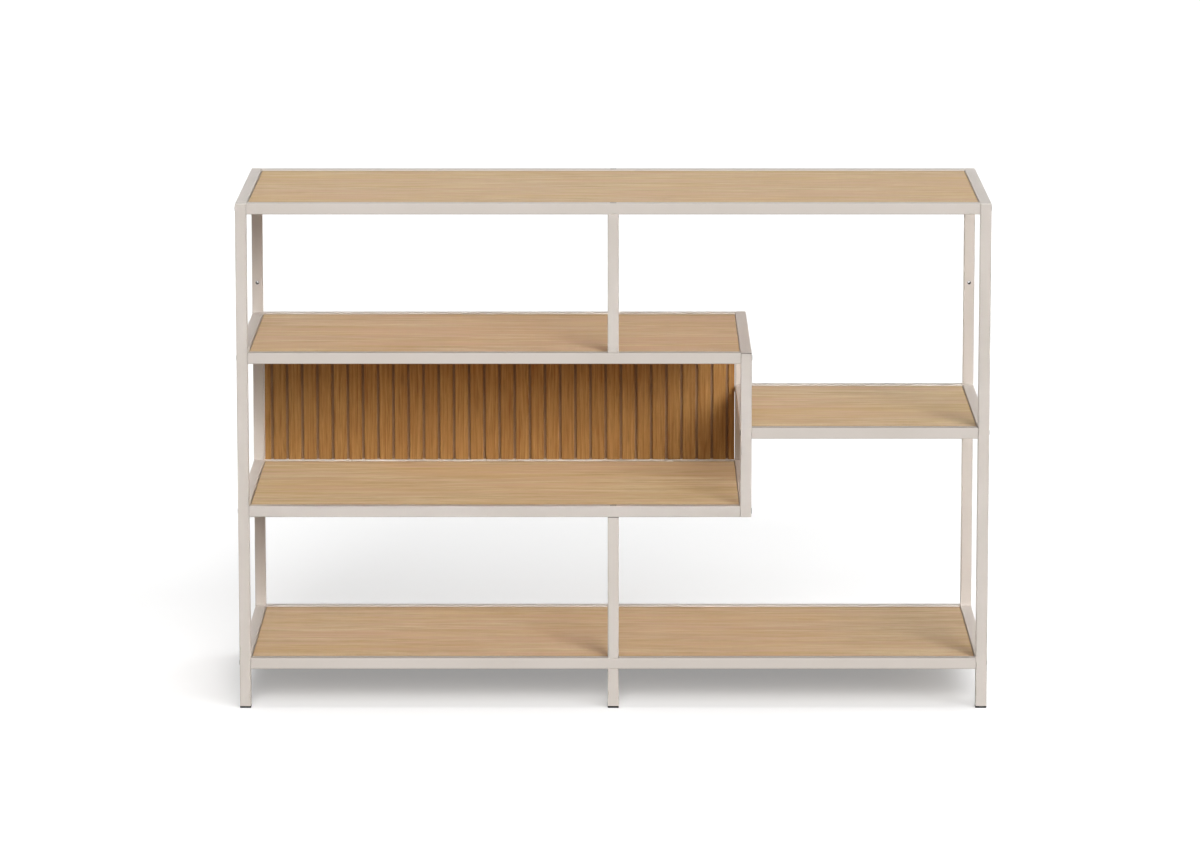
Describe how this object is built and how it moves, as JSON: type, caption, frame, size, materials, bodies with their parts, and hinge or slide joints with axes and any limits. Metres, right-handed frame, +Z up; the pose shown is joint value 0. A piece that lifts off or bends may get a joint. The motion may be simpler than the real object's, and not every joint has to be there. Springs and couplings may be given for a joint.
{
  "type": "bookshelf",
  "caption": "Open stepped bookshelf: bolted square-tube frame, inset oak boards at staggered heights and a slatted oak back behind its long cubby.",
  "frame": {"origin": "on the floor under the middle of the frame", "axes": "+X to the right seen from the front, +Y towards the back, +Z up"},
  "size_m": [1.3518, 0.5, 0.92],
  "materials": {
    "frame": "satin warm grey-beige powder coat",
    "board": "matt light oak with straight grain along the length",
    "slat": "matt oak with upright grain",
    "backing": "matt brown fibreboard",
    "foot": "black moulded plastic",
    "bolt": "coated to match the frame",
    "steel": "zinc-plated steel"
  },
  "bodies": {
    "root": {"back_panel": "backing", "back_panel_tabs": "frame", "back_slats": "slat", "bottom_board": "board", "bottom_board_tabs": "frame", "bottom_front_rail": "frame", "bottom_rear_rail": "frame", "centre_front_foot": "foot", "centre_front_leg": "frame", "centre_post_bolts": "bolt", "centre_rear_foot": "foot", "centre_rear_leg": "frame", "cubby_end_bolts": "bolt", "cubby_end_bottom_rail": "frame", "cubby_end_front_post": "frame", "cubby_end_middle_rail": "frame", "cubby_end_rear_post": "frame", "cubby_end_top_rail": "frame", "left_bottom_side_rail": "frame", "left_frame_bolts": "bolt", "left_front_foot": "foot", "left_front_post": "frame", "left_lower_side_rail": "frame", "left_rear_foot": "foot", "left_rear_post": "frame", "left_top_side_rail": "frame", "left_upper_side_rail": "frame", "lower_board": "board", "lower_board_tabs": "frame", "lower_centre_front_post": "frame", "lower_centre_rear_post": "frame", "lower_front_rail": "frame", "lower_rear_rail": "frame", "right_bottom_side_rail": "frame", "right_frame_bolts": "bolt", "right_front_foot": "foot", "right_front_post": "frame", "right_rear_foot": "foot", "right_rear_post": "frame", "right_shelf_board": "board", "right_shelf_board_tabs": "frame", "right_shelf_front_rail": "frame", "right_shelf_rear_rail": "frame", "right_shelf_side_rail": "frame", "right_top_side_rail": "frame", "threaded_plugs": "steel", "top_board": "board", "top_board_tabs": "frame", "top_front_rail": "frame", "top_rear_rail": "frame", "upper_board": "board", "upper_board_tabs": "frame", "upper_centre_front_post": "frame", "upper_centre_rear_post": "frame", "upper_front_rail": "frame", "upper_rear_rail": "frame"}
  },
  "joints": []
}
